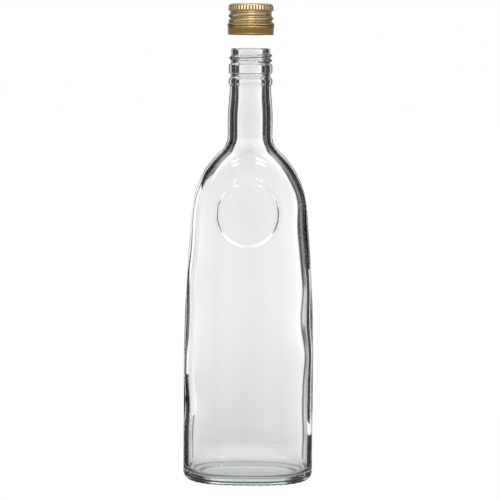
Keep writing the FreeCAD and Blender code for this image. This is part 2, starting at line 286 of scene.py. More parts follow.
def wall_piece(name, x, y, z):
    """A closed smooth piece from a grid of sections, with a middle point at its first and last section."""
    rows, around = x.shape
    ring_points = np.stack([x, y, z], axis=2).reshape(-1, 3)
    ends = [(0, 0, z[0].mean()), (0, 0, z[-1].mean())]
    start_point, end_point = rows * around, rows * around + 1
    faces = []
    for row in range(rows - 1):
        low, high = row * around, (row + 1) * around
        for step in range(around):
            after = (step + 1) % around
            faces.append((low + step, low + after, high + after, high + step))
    last = (rows - 1) * around
    for step in range(around):
        after = (step + 1) % around
        faces.append((start_point, after, step))
        faces.append((last + step, last + after, end_point))
    mesh = bpy.data.meshes.new(name)
    mesh.from_pydata(np.vstack([ring_points, ends]).tolist(), [], faces)
    mesh.shade_smooth()
    piece = bpy.data.objects.new(name, mesh)
    bpy.context.collection.objects.link(piece)
    return piece


def linear(hex_colour):
    """An sRGB hex colour as linear RGBA."""
    parts = [int(hex_colour[at:at + 2], 16) / 255 for at in (1, 3, 5)]
    return [part / 12.92 if part <= 0.04045 else ((part + 0.055) / 1.055) ** 2.4 for part in parts] + [1.0]


def empty_material(name):
    """A new material and its empty node tree."""
    material = bpy.data.materials.new(name)
    material.use_nodes = True
    material.node_tree.nodes.clear()
    return material, material.node_tree


def add_node(tree, kind, *values, sockets=None, **settings):
    """Adds a node with these settings and returns its outputs. Its inputs, in order or by socket, take these
    values: an output is linked to its input, and anything else is written into it."""
    node = tree.nodes.new(kind)
    for name, setting in settings.items():
        setattr(node, name, setting)
    for socket, value in [*enumerate(values), *(sockets or {}).items()]:
        if isinstance(value, bpy.types.NodeSocket):
            tree.links.new(value, node.inputs[socket])
        else:
            node.inputs[socket].default_value = value
    return node.outputs


# Soda-lime flint glass, fire-polished: clear, with a faint grey-green in its depth and a slow ripple on it.
flint_glass, tree = empty_material("flint_glass")
place = add_node(tree, "ShaderNodeTexCoord")["Object"]
ripple = add_node(tree, "ShaderNodeTexNoise", sockets={
    "Vector": place, "Scale": 1 / (22 * mm), "Detail": 1.0, "Roughness": 0.4})["Fac"]
swell = add_node(tree, "ShaderNodeBump", sockets={
    "Height": ripple, "Strength": 0.5, "Distance": 0.06 * mm})[0]
glass = add_node(tree, "ShaderNodeBsdfPrincipled", sockets={
    "Base Color": (1, 1, 1, 1), "Roughness": 0.0, "IOR": 1.52, "Transmission Weight": 1.0,
    "Normal": swell})[0]
depth_tint = add_node(tree, "ShaderNodeVolumeAbsorption", linear("#c3e0e1"), 10.0)[0]
add_node(tree, "ShaderNodeOutputMaterial", sockets={"Surface": glass, "Volume": depth_tint})

glass_bottle = wall_piece("glass_bottle", glass_x, glass_y, glass_z)
glass_bottle.data.materials.append(flint_glass)
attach(glass_bottle, "bottle")
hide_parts("bottle")

# The cap's shell: a cup drawn from lacquered aluminium sheet, with a fluted grip. Its thread is rolled into
# it over the glass, and a slit with a few bridges parts it from the band below.
sheet = 0.22 * mm
cap_top = 294.3 * mm
shell_bottom = 281.3 * mm
flange_height = 0.6 * mm
flare_top = 283.4 * mm
grip_bottom = 290.4 * mm
grip_step = 0.7 * mm
grip_radius = 13.73 * mm
valley_radius = 12.55 * mm
edge_radius = 14.2 * mm
flange_radius = 14.5 * mm
flute_count = 42
steps_per_flute = 10
flute_depth = 0.45 * mm
rolled_lowest = 281.9 * mm
rolled_start = 282.05 * mm
rolled_first_angle = math.radians(328.2)
rolled_turns = 2.06
rolled_half_base = 1.55 * mm
rolled_fade = 0.12
shell_outside = rounded_profile([
    (0, cap_top, 0), (grip_radius - 1.3 * mm, cap_top, 0.7 * mm),
    (grip_radius - 0.3 * mm, cap_top - 1.0 * mm, 0.6 * mm), (grip_radius, grip_bottom, 0.3 * mm),
    (valley_radius, grip_bottom - grip_step, 0.4 * mm), (valley_radius, flare_top, 0.5 * mm),
    (flange_radius, shell_bottom + flange_height, 0.25 * mm), (edge_radius, shell_bottom, 0.1 * mm),
    (edge_radius - sheet, shell_bottom, 0)], 0.25 * mm)
shell_inside = rounded_profile([
    (edge_radius - sheet, shell_bottom, 0),
    (flange_radius - sheet, shell_bottom + flange_height, 0.25 * mm),
    (valley_radius - sheet, flare_top, 0.5 * mm), (valley_radius - sheet, grip_bottom - grip_step, 0.4 * mm),
    (grip_radius - 0.7 * mm, grip_bottom, 0.35 * mm),
    (grip_radius - 0.75 * mm, cap_top - 1.0 * mm, 0.5 * mm),
    (grip_radius - 1.7 * mm, cap_top - sheet, 0.4 * mm), (0, cap_top - sheet, 0)], 0.5 * mm)
shell_profile = np.vstack([shell_outside, shell_inside[1:]])
levels = shell_profile[:, 1]
fluted = eased((levels - grip_bottom + 0.5 * mm) / (0.4 * mm))
fluted *= eased((cap_top - 0.8 * mm - levels) / (0.7 * mm))
fluted *= np.arange(len(shell_profile)) < len(shell_outside)
rolled = eased((levels - rolled_lowest) / (1.4 * mm))
rolled *= eased((grip_bottom - 0.3 * mm - levels) / (1.0 * mm))


def profile_mesh(name, profile, **shares):
    """A profile as a mesh of edges, with a share for each of its points under each name."""
    mesh = bpy.data.meshes.new(name)
    mesh.from_pydata([(radius, 0, level) for radius, level in profile],
                     [(at, at + 1) for at in range(len(profile) - 1)], [])
    for share, values in shares.items():
        mesh.attributes.new(share, "FLOAT", "POINT").data.foreach_set("value", values.astype(np.float32))
    return mesh


def turning_tree():
    """Turns a profile into a wall, with flutes in its grip and a thread rolled into its skirt."""
    tree = bpy.data.node_groups.new("drawn_shell", "GeometryNodeTree")
    tree.interface.new_socket("Geometry", in_out="INPUT", socket_type="NodeSocketGeometry")
    for name in ("Flute Depth", "Thread Start", "Thread First Angle", "Thread Turns", "Thread Pitch",
                 "Thread Depth", "Thread Half Base", "Thread Fade"):
        tree.interface.new_socket(name, in_out="INPUT", socket_type="NodeSocketFloat")
    for name in ("Around", "Flute Count"):
        tree.interface.new_socket(name, in_out="INPUT", socket_type="NodeSocketInt")
    tree.interface.new_socket("Material", in_out="INPUT", socket_type="NodeSocketMaterial")
    tree.interface.new_socket("Geometry", in_out="OUTPUT", socket_type="NodeSocketGeometry")
    given = add_node(tree, "NodeGroupInput")

    # A flat grid, one row for each point of the profile and one column for each step around.
    rings = add_node(tree, "GeometryNodeAttributeDomainSize", given["Geometry"])["Point Count"]
    columns = add_node(tree, "ShaderNodeMath", given["Around"], 1.0, operation="ADD")[0]
    grid = add_node(tree, "GeometryNodeMeshGrid", 1.0, 1.0, columns, rings)["Mesh"]
    here = add_node(tree, "GeometryNodeInputPosition")[0]
    flat = add_node(tree, "ShaderNodeVectorMath", here, (0.5, 0.5, 0.0), operation="ADD")[0]
    flat = add_node(tree, "ShaderNodeSeparateXYZ", flat)
    angle = add_node(tree, "ShaderNodeMath", flat["X"], 2 * math.pi, operation="MULTIPLY")[0]
    last_ring = add_node(tree, "ShaderNodeMath", rings, 1.0, operation="SUBTRACT")[0]
    ring = add_node(tree, "ShaderNodeMath", flat["Y"], last_ring, operation="MULTIPLY")[0]
    ring = add_node(tree, "ShaderNodeMath", ring, operation="ROUND")[0]
    at_ring = {"Geometry": given["Geometry"], "Index": ring}
    point = add_node(tree, "GeometryNodeSampleIndex", sockets={**at_ring, "Value": here},
                     data_type="FLOAT_VECTOR")[0]
    point = add_node(tree, "ShaderNodeSeparateXYZ", point)
    shares = []
    for name in ("fluted", "rolled"):
        share = add_node(tree, "GeometryNodeInputNamedAttribute", name, data_type="FLOAT")[0]
        shares.append(add_node(tree, "GeometryNodeSampleIndex", sockets={**at_ring, "Value": share},
                               data_type="FLOAT")[0])
    fluted, rolled = shares

    # Flutes: round ribs that meet in sharp grooves.
    rib = add_node(tree, "ShaderNodeMath", angle, given["Flute Count"], operation="MULTIPLY")[0]
    rib = add_node(tree, "ShaderNodeMath", rib, 0.5, operation="MULTIPLY")[0]
    rib = add_node(tree, "ShaderNodeMath", rib, operation="SINE")[0]
    rib = add_node(tree, "ShaderNodeMath", rib, operation="ABSOLUTE")[0]
    groove_and_painted_shade = add_node(tree, "ShaderNodeMath", 1.0, rib, operation="SUBTRACT")[0]
    groove_and_painted_shade = add_node(tree, "ShaderNodeMath", groove_and_painted_shade, fluted, operation="MULTIPLY")[0]
    cut_in = add_node(tree, "ShaderNodeMath", groove_and_painted_shade, given["Flute Depth"], operation="MULTIPLY")[0]
    # The squared groove share is a painted shade, darkest deep in each groove.
    dark = add_node(tree, "ShaderNodeMath", groove_and_painted_shade, groove_and_painted_shade, operation="MULTIPLY")[0]

    # The thread: a broad rounded ridge that climbs by its pitch and fades out at both ends.
    part_turn = add_node(tree, "ShaderNodeMath", angle, given["Thread First Angle"], operation="SUBTRACT")[0]
    part_turn = add_node(tree, "ShaderNodeMath", part_turn, 2 * math.pi, operation="DIVIDE")[0]
    part_turn = add_node(tree, "ShaderNodeMath", part_turn, 1.0, operation="FLOORED_MODULO")[0]
    climbed = add_node(tree, "ShaderNodeMath", point["Z"], given["Thread Start"], operation="SUBTRACT")[0]
    climbed = add_node(tree, "ShaderNodeMath", climbed, given["Thread Pitch"], operation="DIVIDE")[0]
    turn = add_node(tree, "ShaderNodeMath", climbed, part_turn, operation="SUBTRACT")[0]
    turn = add_node(tree, "ShaderNodeMath", turn, operation="ROUND")[0]
    turn = add_node(tree, "ShaderNodeMath", turn, part_turn, operation="ADD")[0]
    off = add_node(tree, "ShaderNodeMath", climbed, turn, operation="SUBTRACT")[0]
    off = add_node(tree, "ShaderNodeMath", off, given["Thread Pitch"], operation="MULTIPLY")[0]
    off = add_node(tree, "ShaderNodeMath", off, given["Thread Half Base"], operation="DIVIDE")[0]
    off = add_node(tree, "ShaderNodeMath", off, operation="ABSOLUTE")[0]
    off = add_node(tree, "ShaderNodeMath", off, 1.0, operation="MINIMUM")[0]
    ridge = add_node(tree, "ShaderNodeMath", off, math.pi, operation="MULTIPLY")[0]
    ridge = add_node(tree, "ShaderNodeMath", ridge, operation="COSINE")[0]
    ridge = add_node(tree, "ShaderNodeMath", ridge, 0.5, 0.5, operation="MULTIPLY_ADD")[0]
    ridge = add_node(tree, "ShaderNodeMath", ridge, 0.65, operation="POWER")[0]
    to_end = add_node(tree, "ShaderNodeMath", given["Thread Turns"], turn, operation="SUBTRACT")[0]
    for turns_in in (turn, to_end):
        faded = add_node(tree, "ShaderNodeMapRange", turns_in, 0.0, given["Thread Fade"],
                         interpolation_type="SMOOTHSTEP")[0]
        ridge = add_node(tree, "ShaderNodeMath", ridge, faded, operation="MULTIPLY")[0]
    ridge = add_node(tree, "ShaderNodeMath", ridge, rolled, operation="MULTIPLY")[0]
    roll_out = add_node(tree, "ShaderNodeMath", ridge, given["Thread Depth"], operation="MULTIPLY")[0]

    # The grid is bent into a wall and closed along its seam.
    radius = add_node(tree, "ShaderNodeMath", point["X"], cut_in, operation="SUBTRACT")[0]
    radius = add_node(tree, "ShaderNodeMath", radius, roll_out, operation="ADD")[0]
    out = add_node(tree, "ShaderNodeCombineXYZ", radius)[0]
    out = add_node(tree, "ShaderNodeVectorRotate", out, sockets={"Angle": angle}, rotation_type="Z_AXIS")[0]
    up = add_node(tree, "ShaderNodeCombineXYZ", sockets={"Z": point["Z"]})[0]
    place = add_node(tree, "ShaderNodeVectorMath", out, up, operation="ADD")[0]
    # The painted groove shade is stored on the points, for the lacquer to darken them.
    marked = add_node(tree, "GeometryNodeStoreNamedAttribute", grid,
                      sockets={"Name": "groove_and_painted_shade", "Value": dark}, data_type="FLOAT", domain="POINT")[0]
    wall = add_node(tree, "GeometryNodeSetPosition", marked, sockets={"Position": place})[0]
    closed = add_node(tree, "GeometryNodeMergeByDistance", wall, sockets={"Distance": 0.001 * mm})[0]
    smooth = add_node(tree, "GeometryNodeSetShadeSmooth", closed)[0]
    real = add_node(tree, "GeometryNodeRealizeInstances", smooth)[0]
    finished = add_node(tree, "GeometryNodeSetMaterial", real, sockets={"Material": given["Material"]})[0]
    add_node(tree, "NodeGroupOutput", finished)
    return tree


def made_by_nodes(name, mesh, tree, **values):
    """The plain mesh that a node tree makes of this mesh, as a new object."""
    maker = bpy.data.objects.new(name + "_maker", mesh)
    bpy.context.collection.objects.link(maker)
    modifier = maker.modifiers.new("shape", "NODES")
    modifier.node_group = tree
    for socket in tree.interface.items_tree:
        if socket.in_out == "INPUT" and socket.name in values:
            modifier[socket.identifier] = values[socket.name]
    evaluated = maker.evaluated_get(bpy.context.evaluated_depsgraph_get())
    made = bpy.data.meshes.new_from_object(evaluated)
    maker.modifiers.clear()
    bpy.data.objects.remove(maker)
    made.name = name
    piece = bpy.data.objects.new(name, made)
    bpy.context.collection.objects.link(piece)
    return piece


# Gold-lacquered aluminium: satin metal under a tinted lacquer with slight clouding and faint rolling marks.
# The lacquer is stretched thin and pale on the shell and lies deeper on the band. In the grooves and the
# slit its colour is darkened towards brown as painted shade.
gold_lacquer, tree = empty_material("gold_lacquered_aluminium")
place = add_node(tree, "ShaderNodeTexCoord")["Object"]
clouding = add_node(tree, "ShaderNodeTexNoise", sockets={
    "Vector": place, "Scale": 1 / (6 * mm), "Detail": 3.0})["Fac"]
lacquer = add_node(tree, "ShaderNodeMix", sockets={0: clouding, 6: linear("#c4ad82"), 7: linear("#d6bf95")},
                   data_type="RGBA")[2]
level = add_node(tree, "ShaderNodeSeparateXYZ", place)["Z"]
on_band = add_node(tree, "ShaderNodeMapRange", level, shell_bottom, shell_bottom - 0.6 * mm)[0]
lacquer = add_node(tree, "ShaderNodeMix", sockets={0: on_band, 6: lacquer, 7: linear("#c49e59")},
                   data_type="RGBA")[2]
# Painted shade: where the stored groove shade is high, the lacquer is mixed towards dark brown.
groove_and_painted_shade = add_node(tree, "ShaderNodeAttribute", attribute_name="groove_and_painted_shade")["Fac"]
lacquer = add_node(tree, "ShaderNodeMix", sockets={0: groove_and_painted_shade, 6: lacquer, 7: linear("#4a3818")},
                   data_type="RGBA")[2]
along_marks = add_node(tree, "ShaderNodeVectorMath", place, (1 / (12 * mm), 1 / (12 * mm), 1 / (0.6 * mm)),
                       operation="MULTIPLY")[0]
marks = add_node(tree, "ShaderNodeTexNoise", sockets={
    "Vector": along_marks, "Scale": 1.0, "Detail": 2.0})["Fac"]
dulling = add_node(tree, "ShaderNodeMapRange", marks, sockets={"To Min": 0.17, "To Max": 0.23})[0]
marking = add_node(tree, "ShaderNodeBump", sockets={
    "Height": marks, "Strength": 0.02, "Distance": 0.01 * mm})[0]
gold = add_node(tree, "ShaderNodeBsdfPrincipled", sockets={
    "Base Color": lacquer, "Roughness": dulling, "Normal": marking, "Metallic": 1.0, "Coat Weight": 0.4,
    "Coat Roughness": 0.2})[0]
add_node(tree, "ShaderNodeOutputMaterial", gold)

drawn_shell = turning_tree()
shell_start = profile_mesh("shell_profile", shell_profile, fluted=fluted, rolled=rolled)
cap_shell = made_by_nodes("drawn_cap_shell", shell_start, drawn_shell, **{
    "Around": flute_count * steps_per_flute, "Flute Count": flute_count, "Flute Depth": flute_depth,
    "Thread Start": rolled_start, "Thread First Angle": rolled_first_angle, "Thread Turns": rolled_turns,
    "Thread Pitch": thread_pitch, "Thread Depth": thread_depth, "Thread Half Base": rolled_half_base,
    "Thread Fade": rolled_fade, "Material": gold_lacquer})
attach(cap_shell, "cap")
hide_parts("cap_shell")

# The tamper band: the lowest ring of the same drawn cup, parted from the shell by the slit. The slitting
# wheel leaves a thin lip turned in behind the slit, and the lower edge is rolled to a small bead.
band_top = 280.7 * mm
band_bottom = 275.8 * mm
band_inner_radius = 13.75 * mm
band_lip_radius = 13.47 * mm
band_lip_top = shell_bottom - 0.08 * mm
band_around = 240
band_outside = rounded_profile([
    (band_lip_radius, band_lip_top, 0), (13.57 * mm, band_lip_top, 0.04 * mm),
    (13.6 * mm, band_top + 0.02 * mm, 0.08 * mm), (14.05 * mm, band_top - 0.02 * mm, 0.1 * mm),
    (14.18 * mm, band_top - 0.35 * mm, 0.12 * mm), (14.14 * mm, band_top - 0.6 * mm, 0.15 * mm),
    (13.97 * mm, band_top - 0.85 * mm, 0.2 * mm), (13.96 * mm, band_bottom + 0.62 * mm, 0.12 * mm),
    (14.01 * mm, band_bottom + 0.42 * mm, 0.12 * mm), (13.98 * mm, band_bottom + 0.12 * mm, 0.15 * mm),
    (band_inner_radius, band_bottom, 0)], 0.2 * mm)
band_inside = rounded_profile([
    (band_inner_radius, band_bottom, 0), (13.72 * mm, band_bottom + 0.4 * mm, 0.2 * mm),
    (13.74 * mm, band_bottom + 1.5 * mm, 0.5 * mm), (13.76 * mm, band_top - 0.8 * mm, 0.3 * mm),
    (band_lip_radius, band_top - 0.25 * mm, 0.1 * mm), (band_lip_radius, band_lip_top, 0)], 0.4 * mm)
band_profile = np.vstack([band_outside, band_inside[1:]])
# The lip turned in behind the slit takes the same painted shade as the grooves, passed on as its fluted
# share.
slit_lip_painted_shade = (band_profile[:, 0] < band_inner_radius) & (band_profile[:, 1] > band_top - 0.1 * mm)
band_start = profile_mesh("band_profile", band_profile, fluted=1.0 * slit_lip_painted_shade)
band = made_by_nodes("tamper_band_ring", band_start, drawn_shell, **{
    "Around": band_around, "Thread Pitch": thread_pitch, "Thread Half Base": rolled_half_base,
    "Material": gold_lacquer})
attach(band, "cap")
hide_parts("tamper_band")

# The bridges: eight short strips of the sheet left standing across the slit, which tear at the first opening.
# The slitting wheel presses each of them a little outwards.
bridge_count = 8
bridge_first_angle = math.radians(280)
bridge_width = 0.9 * mm
bridge_radius = 14.1 * mm
bridge_bulge = 0.28 * mm
bridge_overlap = 0.12 * mm


def bridge_tree():
    """Bends strips across the slit and sets them around the cap."""
    tree = bpy.data.node_groups.new("slit_bridges", "GeometryNodeTree")
    for name in ("Width", "Slit Bottom", "Slit Top", "Radius", "Sheet", "Bulge", "First Angle"):
        tree.interface.new_socket(name, in_out="INPUT", socket_type="NodeSocketFloat")
    tree.interface.new_socket("Count", in_out="INPUT", socket_type="NodeSocketInt")
    tree.interface.new_socket("Material", in_out="INPUT", socket_type="NodeSocketMaterial")
    tree.interface.new_socket("Geometry", in_out="OUTPUT", socket_type="NodeSocketGeometry")
    given = add_node(tree, "NodeGroupInput")

    # A unit block: X is its thickness, Y its width and Z its height across the slit.
    block = add_node(tree, "GeometryNodeMeshCube", (1.0, 1.0, 1.0), 3, 9, 9)["Mesh"]
    unit = add_node(tree, "ShaderNodeSeparateXYZ", add_node(tree, "GeometryNodeInputPosition")[0])
    arch = add_node(tree, "ShaderNodeMath", unit["Z"], math.pi, operation="MULTIPLY")[0]
    arch = add_node(tree, "ShaderNodeMath", arch, operation="COSINE")[0]
    waist = add_node(tree, "ShaderNodeMath", arch, -0.25, 1.0, operation="MULTIPLY_ADD")[0]
    angle = add_node(tree, "ShaderNodeMath", unit["Y"], given["Width"], operation="MULTIPLY")[0]
    angle = add_node(tree, "ShaderNodeMath", angle, given["Radius"], operation="DIVIDE")[0]
    angle = add_node(tree, "ShaderNodeMath", angle, waist, operation="MULTIPLY")[0]
    bulge = add_node(tree, "ShaderNodeMath", unit["Y"], math.pi, operation="MULTIPLY")[0]
    bulge = add_node(tree, "ShaderNodeMath", bulge, operation="COSINE")[0]
    bulge = add_node(tree, "ShaderNodeMath", bulge, arch, operation="MULTIPLY")[0]
    radius = add_node(tree, "ShaderNodeMath", unit["X"], given["Sheet"], given["Radius"],
                      operation="MULTIPLY_ADD")[0]
    radius = add_node(tree, "ShaderNodeMath", bulge, given["Bulge"], radius, operation="MULTIPLY_ADD")[0]
    level = add_node(tree, "ShaderNodeMapRange", unit["Z"], -0.5, 0.5, given["Slit Bottom"],
                     given["Slit Top"])[0]
    out = add_node(tree, "ShaderNodeCombineXYZ", radius)[0]
    out = add_node(tree, "ShaderNodeVectorRotate", out, sockets={"Angle": angle}, rotation_type="Z_AXIS")[0]
    up = add_node(tree, "ShaderNodeCombineXYZ", sockets={"Z": level})[0]
    bent = add_node(tree, "ShaderNodeVectorMath", out, up, operation="ADD")[0]
    strip = add_node(tree, "GeometryNodeSetPosition", block, sockets={"Position": bent})[0]
    strip = add_node(tree, "GeometryNodeSetShadeSmooth", strip)[0]

    # One strip at each stand around the slit.
    stands = add_node(tree, "GeometryNodePoints", given["Count"])[0]
    facing = add_node(tree, "ShaderNodeMath", add_node(tree, "GeometryNodeInputIndex")[0], 2 * math.pi,
                      operation="MULTIPLY")[0]
    facing = add_node(tree, "ShaderNodeMath", facing, given["Count"], operation="DIVIDE")[0]
    facing = add_node(tree, "ShaderNodeMath", facing, given["First Angle"], operation="ADD")[0]
    turned = add_node(tree, "ShaderNodeCombineXYZ", sockets={"Z": facing})[0]
    placed = add_node(tree, "GeometryNodeInstanceOnPoints",
                      sockets={"Points": stands, "Instance": strip, "Rotation": turned})[0]
    real = add_node(tree, "GeometryNodeRealizeInstances", placed)[0]
    finished = add_node(tree, "GeometryNodeSetMaterial", real, sockets={"Material": given["Material"]})[0]
    add_node(tree, "NodeGroupOutput", finished)
    return tree


bridges = made_by_nodes("slit_bridges", bpy.data.meshes.new("bridge_start"), bridge_tree(), **{
    "Width": bridge_width, "Slit Bottom": band_top - bridge_overlap,
    "Slit Top": shell_bottom + bridge_overlap, "Radius": bridge_radius, "Sheet": sheet, "Bulge": bridge_bulge,
    "First Angle": bridge_first_angle, "Count": bridge_count, "Material": gold_lacquer})
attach(bridges, "cap")
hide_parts("band_bridges")

# The liner: a disc punched from closed-cell polyethylene foam sheet and pressed into the cap. It seals on
# the lip, which has left its ring in it.
liner_radius = 12.93 * mm
liner_bottom = 292.03 * mm
liner_top = 294.03 * mm
lip_mark_depth = 0.22 * mm
liner_around = 160

# Closed-cell foam: matt and white, with the dimples of its cells.
foam, tree = empty_material("polyethylene_foam")
place = add_node(tree, "ShaderNodeTexCoord")["Object"]
cells = add_node(tree, "ShaderNodeTexVoronoi", sockets={"Vector": place, "Scale": 1 / (0.5 * mm)})["Distance"]
tone = add_node(tree, "ShaderNodeMix", sockets={0: cells, 6: linear("#f2f2ee"), 7: linear("#d9d9d3")},
                data_type="RGBA")[2]
dimples = add_node(tree, "ShaderNodeBump", sockets={
    "Height": cells, "Strength": 0.4, "Distance": 0.1 * mm})[0]
foam_face = add_node(tree, "ShaderNodeBsdfPrincipled",
                     sockets={"Base Color": tone, "Normal": dimples, "Roughness": 0.8})[0]
add_node(tree, "ShaderNodeOutputMaterial", foam_face)

liner_profile = rounded_profile([
    (0, liner_bottom + 0.05 * mm, 0), (8.9 * mm, liner_bottom, 0.6 * mm),
    (9.5 * mm, liner_bottom + lip_mark_depth, 0.4 * mm), (11.2 * mm, liner_bottom + lip_mark_depth, 0.4 * mm),
    (11.9 * mm, liner_bottom, 0.5 * mm), (liner_radius, liner_bottom + 0.05 * mm, 0.2 * mm),
    (liner_radius, liner_top, 0.2 * mm), (0, liner_top, 0)], 0.3 * mm)
liner_start = profile_mesh("liner_profile", liner_profile[::-1])
liner = made_by_nodes("foam_liner_disc", liner_start, drawn_shell, **{
    "Around": liner_around, "Thread Pitch": thread_pitch, "Thread Half Base": rolled_half_base,
    "Material": foam})
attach(liner, "liner")
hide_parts("cap_liner")

# The studio floor: white paper lit from below, with a little of the bottle's shadow left on it.
pale_floor, tree = empty_material("pale_floor")
paper = add_node(tree, "ShaderNodeBsdfDiffuse", linear("#f4f4f4"))[0]
glow = add_node(tree, "ShaderNodeEmission", (1, 1, 1, 1), 1.05)[0]
place = add_node(tree, "ShaderNodeTexCoord")["Object"]
away = add_node(tree, "ShaderNodeVectorMath", place, operation="LENGTH")["Value"]
whiter = add_node(tree, "ShaderNodeMapRange", away, 60 * mm, 400 * mm, 0.92, 1.0,
                  interpolation_type="SMOOTHSTEP")[0]
add_node(tree, "ShaderNodeOutputMaterial", add_node(tree, "ShaderNodeMixShader", whiter, paper, glow)[0])
floor_mesh = bpy.data.meshes.new("floor")
floor_mesh.from_pydata([(-6, -6, 0), (6, -6, 0), (6, 6, 0), (-6, 6, 0)], [], [(0, 1, 2, 3)])
floor_mesh.materials.append(pale_floor)
floor = bpy.data.objects.new("floor", floor_mesh)
bpy.context.collection.objects.link(floor)
floor.visible_transmission = False
floor.visible_glossy = False


def hidden_card(name, corners, material):
    """A flat card at these corners in millimetres, which only the object's glass and metal see."""
    mesh = bpy.data.meshes.new(name)
    mesh.from_pydata([[part * mm for part in corner] for corner in corners], [], [tuple(range(len(corners)))])
    mesh.materials.append(material)
    card = bpy.data.objects.new(name, mesh)
    bpy.context.collection.objects.link(card)
    card.visible_camera = False
    card.visible_diffuse = False
    card.visible_shadow = False
    return card


# The glowing table card near the bottle shows white through the glass and carries a painted shadow:
# grey under the bottle, and darkest in a narrow ring at the front of the foot, where the glass meets it.
table_white, tree = empty_material("table_white")
place = add_node(tree, "ShaderNodeTexCoord")["Object"]
away = add_node(tree, "ShaderNodeVectorMath", place, (1.6, 1.0, 1.0), operation="MULTIPLY")[0]
away = add_node(tree, "ShaderNodeVectorMath", away, operation="LENGTH")["Value"]
fading = add_node(tree, "ShaderNodeMapRange", away, 66 * mm, 95 * mm, interpolation_type="SMOOTHSTEP")[0]
under = add_node(tree, "ShaderNodeVectorMath", place, (0.58, 1.0, 1.0), operation="MULTIPLY")[0]
under = add_node(tree, "ShaderNodeVectorMath", under, operation="LENGTH")["Value"]
level = add_node(tree, "ShaderNodeMapRange", under, 15 * mm, 18.5 * mm, 0.6, 0.46,
                 interpolation_type="SMOOTHSTEP")[0]
beside = add_node(tree, "ShaderNodeMapRange", under, 20.5 * mm, 36 * mm, 0.0, 0.28,
                  interpolation_type="SMOOTHSTEP")[0]
level = add_node(tree, "ShaderNodeMath", level, beside, operation="ADD")[0]
behind = add_node(tree, "ShaderNodeSeparateXYZ", place)["Y"]
# Painted contact shadow: strongest at the front of the ring where the foot stands, fading towards the back.
painted_contact_shadow = add_node(tree, "ShaderNodeMapRange", behind, -6 * mm, 10 * mm, -0.75, -0.1,
                   interpolation_type="SMOOTHSTEP")[0]
for start, end in ((22.0, 23.5), (29.0, 25.5)):
    share = add_node(tree, "ShaderNodeMapRange", under, start * mm, end * mm,
                     interpolation_type="SMOOTHSTEP")[0]
    painted_contact_shadow = add_node(tree, "ShaderNodeMath", painted_contact_shadow, share, operation="MULTIPLY")[0]
level = add_node(tree, "ShaderNodeMath", level, painted_contact_shadow, level, operation="MULTIPLY_ADD")[0]
glow = add_node(tree, "ShaderNodeEmission", (1, 1, 1, 1), level)[0]
clear = add_node(tree, "ShaderNodeBsdfTransparent")[0]
add_node(tree, "ShaderNodeOutputMaterial", add_node(tree, "ShaderNodeMixShader", fading, glow, clear)[0])
hidden_card("table", [(-100, -100, -0.2), (100, -100, -0.2), (100, 100, -0.2), (-100, 100, -0.2)],
            table_white)

# White cards stand close behind the bottle's sides, out of the camera's sight.
white_card, tree = empty_material("white_card")
add_node(tree, "ShaderNodeOutputMaterial", add_node(tree, "ShaderNodeEmission", (1, 1, 1, 1), 1.1)[0])
hidden_card("left_card", [(-134, 28, 47), (-106, 62.8, 47), (-106, 62.8, 64), (-117, 49, 76), (-117, 49, 108),
                          (-93, 79, 150), (-93, 79, 207), (-134, 28, 207)], white_card)
hidden_card("left_rear_card", [(-89, 108, 15), (-58, 114, 15), (-58, 114, 207), (-89, 108, 207)], white_card)
hidden_card("right_rear_card", [(85, 101, 0), (108, 97, 0), (108, 97, 124), (85, 101, 124)], white_card)
hidden_card("right_low_card", [(105, 88, 0), (150, 55, 0), (150, 55, 10), (105, 88, 10)], white_card)

# A card with faded edges behind the seal, as bright as the paper, which its upper bevel shows.
seal_card, tree = empty_material("seal_card")
away = add_node(tree, "ShaderNodeTexCoord")["Object"]
away = add_node(tree, "ShaderNodeVectorMath", away, (1.5 * mm, 0.0, -154.5 * mm), operation="ADD")[0]
away = add_node(tree, "ShaderNodeVectorMath", away, (1 / (15 * mm), 0.0, 1 / (13 * mm)),
                operation="MULTIPLY")[0]
away = add_node(tree, "ShaderNodeVectorMath", away, operation="LENGTH")["Value"]
fading = add_node(tree, "ShaderNodeMapRange", away, 0.55, 1.0, interpolation_type="SMOOTHSTEP")[0]
glow = add_node(tree, "ShaderNodeEmission", (1, 1, 1, 1), 0.8)[0]
clear = add_node(tree, "ShaderNodeBsdfTransparent")[0]
add_node(tree, "ShaderNodeOutputMaterial", add_node(tree, "ShaderNodeMixShader", fading, glow, clear)[0])
hidden_card("seal_card", [(-18, 120, 140), (15, 120, 140), (15, 120, 169), (-18, 120, 169)], seal_card)

# Grey cards around the tamper band and a dark one high behind the cap, which only reflections see.
# A pale card in front of the grip, brightest in its middle, shows in the flutes.
grey_card, tree = empty_material("grey_card")
add_node(tree, "ShaderNodeOutputMaterial", add_node(tree, "ShaderNodeEmission", (1, 1, 1, 1), 0.32)[0])
for (start_x, start_y), (end_x, end_y), top in (((-40, 110), (-130, -20), 340), ((40, 110), (130, -20), 340),
                                                ((-130, -20), (-45, -80), 291), ((130, -20), (45, -80), 291),
                                                ((-45, -80), (45, -80), 291)):
    card = hidden_card("band_card", [(start_x, start_y, 264), (end_x, end_y, 264), (end_x, end_y, top),
                                     (start_x, start_y, top)], grey_card)
    card.visible_transmission = False
dark_card, tree = empty_material("dark_card")
add_node(tree, "ShaderNodeOutputMaterial", add_node(tree, "ShaderNodeEmission", (1, 1, 1, 1), 0.06)[0])
pale_card, tree = empty_material("pale_card")
off_middle = add_node(tree, "ShaderNodeSeparateXYZ", add_node(tree, "ShaderNodeTexCoord")["Object"])["X"]
off_middle = add_node(tree, "ShaderNodeMath", off_middle, operation="ABSOLUTE")[0]
glow = add_node(tree, "ShaderNodeMapRange", off_middle, 30 * mm, 4 * mm, 0.3, 4.2,
                interpolation_type="SMOOTHSTEP")[0]
